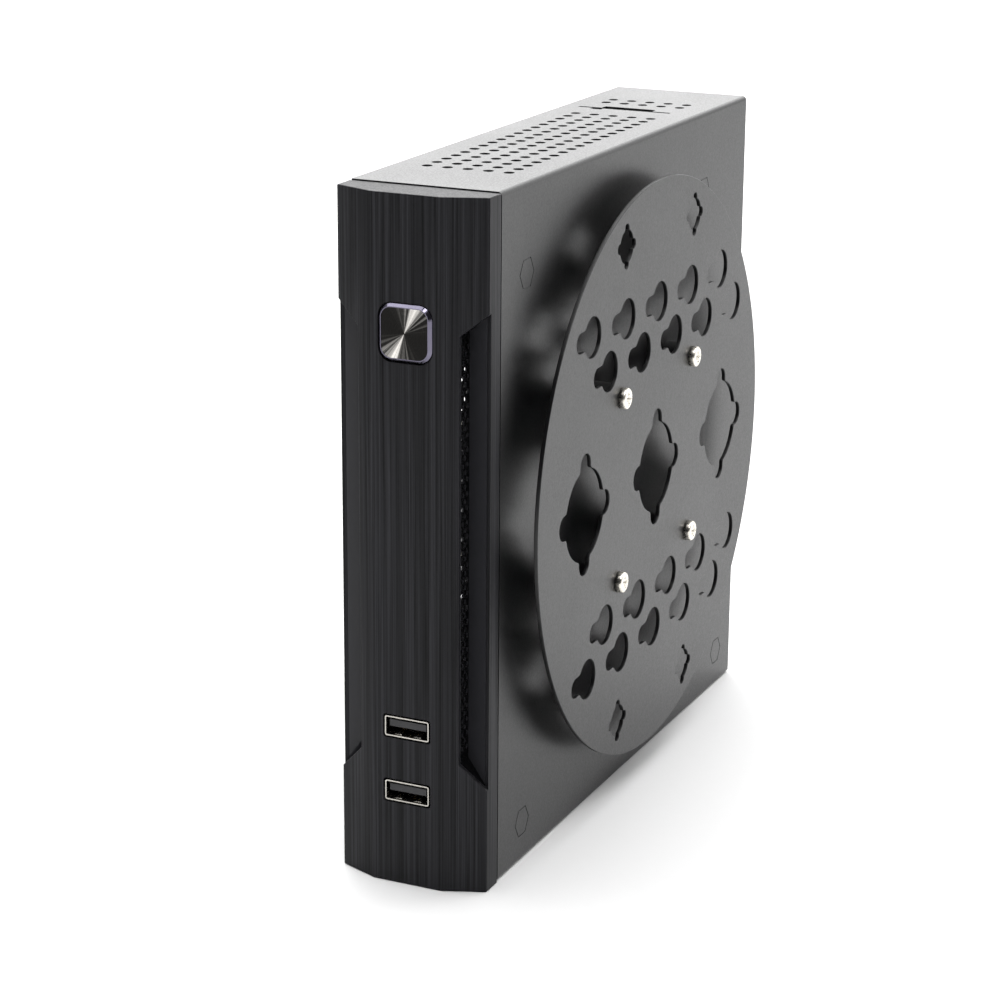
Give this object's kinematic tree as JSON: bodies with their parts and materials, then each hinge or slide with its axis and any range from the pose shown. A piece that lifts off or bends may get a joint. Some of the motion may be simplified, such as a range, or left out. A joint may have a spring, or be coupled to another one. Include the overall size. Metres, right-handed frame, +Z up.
{
  "type": "mini pc",
  "caption": "Slim desktop computer standing on its edge: folded steel case, faceted front with power button and USB sockets, and a round mounting plate with keyholes on one side.",
  "frame": {"origin": "middle of the case's bottom face, midway between its side panels and between its front and rear edges", "axes": "+X across the case towards the mounting plate, +Y to the rear, +Z up; the front bezel faces -Y"},
  "size_m": [0.0543, 0.203, 0.1936],
  "materials": {
    "case_coat": "fine-textured black powder coat",
    "bezel_metal": "black, fine vertical brushing",
    "liner_black": "glossy blue-black",
    "button_metal": "spun face with a polished bevel",
    "plated_steel": "zinc plated, satin",
    "screw_steel": "bright nickel plated",
    "socket_shell": "nickel plated, satin",
    "black_plastic": "fine matt moulding",
    "grey_plastic": "matt moulding",
    "contact_gold": "gold plated",
    "circuit_board": "satin solder mask",
    "chip_black": "matt, ground",
    "sink_metal": "extruded, satin",
    "drive_metal": "satin",
    "lead_black": "satin jacket"
  },
  "bodies": {
    "case": {"base_tray": "case_coat", "side_cover": "case_coat", "cover_screws": "screw_steel", "front_frame": "case_coat", "rear_panel": "case_coat", "io_shield": "plated_steel", "front_bezel": "bezel_metal", "notch_liner_right": "liner_black", "notch_liner_left": "liner_black", "button_spring": "plated_steel", "power_switch": "black_plastic", "switch_board": "circuit_board", "switch_posts": "plated_steel", "switch_lead": "lead_black", "front_io_board": "circuit_board", "io_board_screws": "screw_steel", "usb_upper_shell": "socket_shell", "usb_upper_tongue": "grey_plastic", "usb_lower_shell": "socket_shell", "usb_lower_tongue": "grey_plastic", "usb_contacts": "contact_gold", "front_usb_lead": "lead_black", "motherboard": "circuit_board", "board_standoffs": "plated_steel", "board_screws": "screw_steel", "processor": "chip_black", "heatsink": "sink_metal", "fan_frame": "black_plastic", "fan_screws": "screw_steel", "fan_lead": "lead_black", "memory_sockets": "black_plastic", "memory_module_lower": "circuit_board", "memory_module_upper": "circuit_board", "solid_state_card": "circuit_board", "wireless_card": "circuit_board", "board_chokes": "chip_black", "board_chips": "chip_black", "coin_cell": "plated_steel", "drive": "drive_metal", "drive_bracket": "plated_steel", "drive_screws": "screw_steel", "drive_lead": "lead_black", "power_inlet": "black_plastic", "hdmi_port": "socket_shell", "display_port": "socket_shell", "rear_usb_stack_low": "socket_shell", "rear_usb_stack_high": "socket_shell", "lan_jack": "socket_shell", "audio_jacks": "black_plastic", "antenna_jacks": "contact_gold", "mounting_plate": "case_coat", "plate_spacers": "black_plastic", "plate_screws": "screw_steel", "plate_nuts": "plated_steel"},
    "power_button": {"power_button_cap": "button_metal", "button_plunger": "black_plastic"},
    "switch_pin": {"switch_actuator": "grey_plastic"},
    "cooling_fan": {"fan_rotor": "black_plastic"}
  },
  "joints": [
    {"name": "button_slide", "type": "slide", "parent": "case", "child": "power_button", "axis": [0, 1, 0], "range_m": [0, 0.001], "stiffness_N_per_m": 400, "springref_m": -0.002, "deforming": ["button_spring"]},
    {"name": "switch_slide", "type": "slide", "parent": "case", "child": "switch_pin", "axis": [0, 1, 0], "range_m": [0, 0.001], "stiffness_N_per_m": 100, "springref_m": -0.001},
    {"name": "fan_spin", "type": "hinge", "parent": "case", "child": "cooling_fan", "pos_m": [-0.00905, -0.015, 0.0945], "axis": [1, 0, 0], "continuous": true}
  ],
  "couplings": [
    {"joint": "switch_slide", "follows": "button_slide", "ratio": 1}
  ]
}
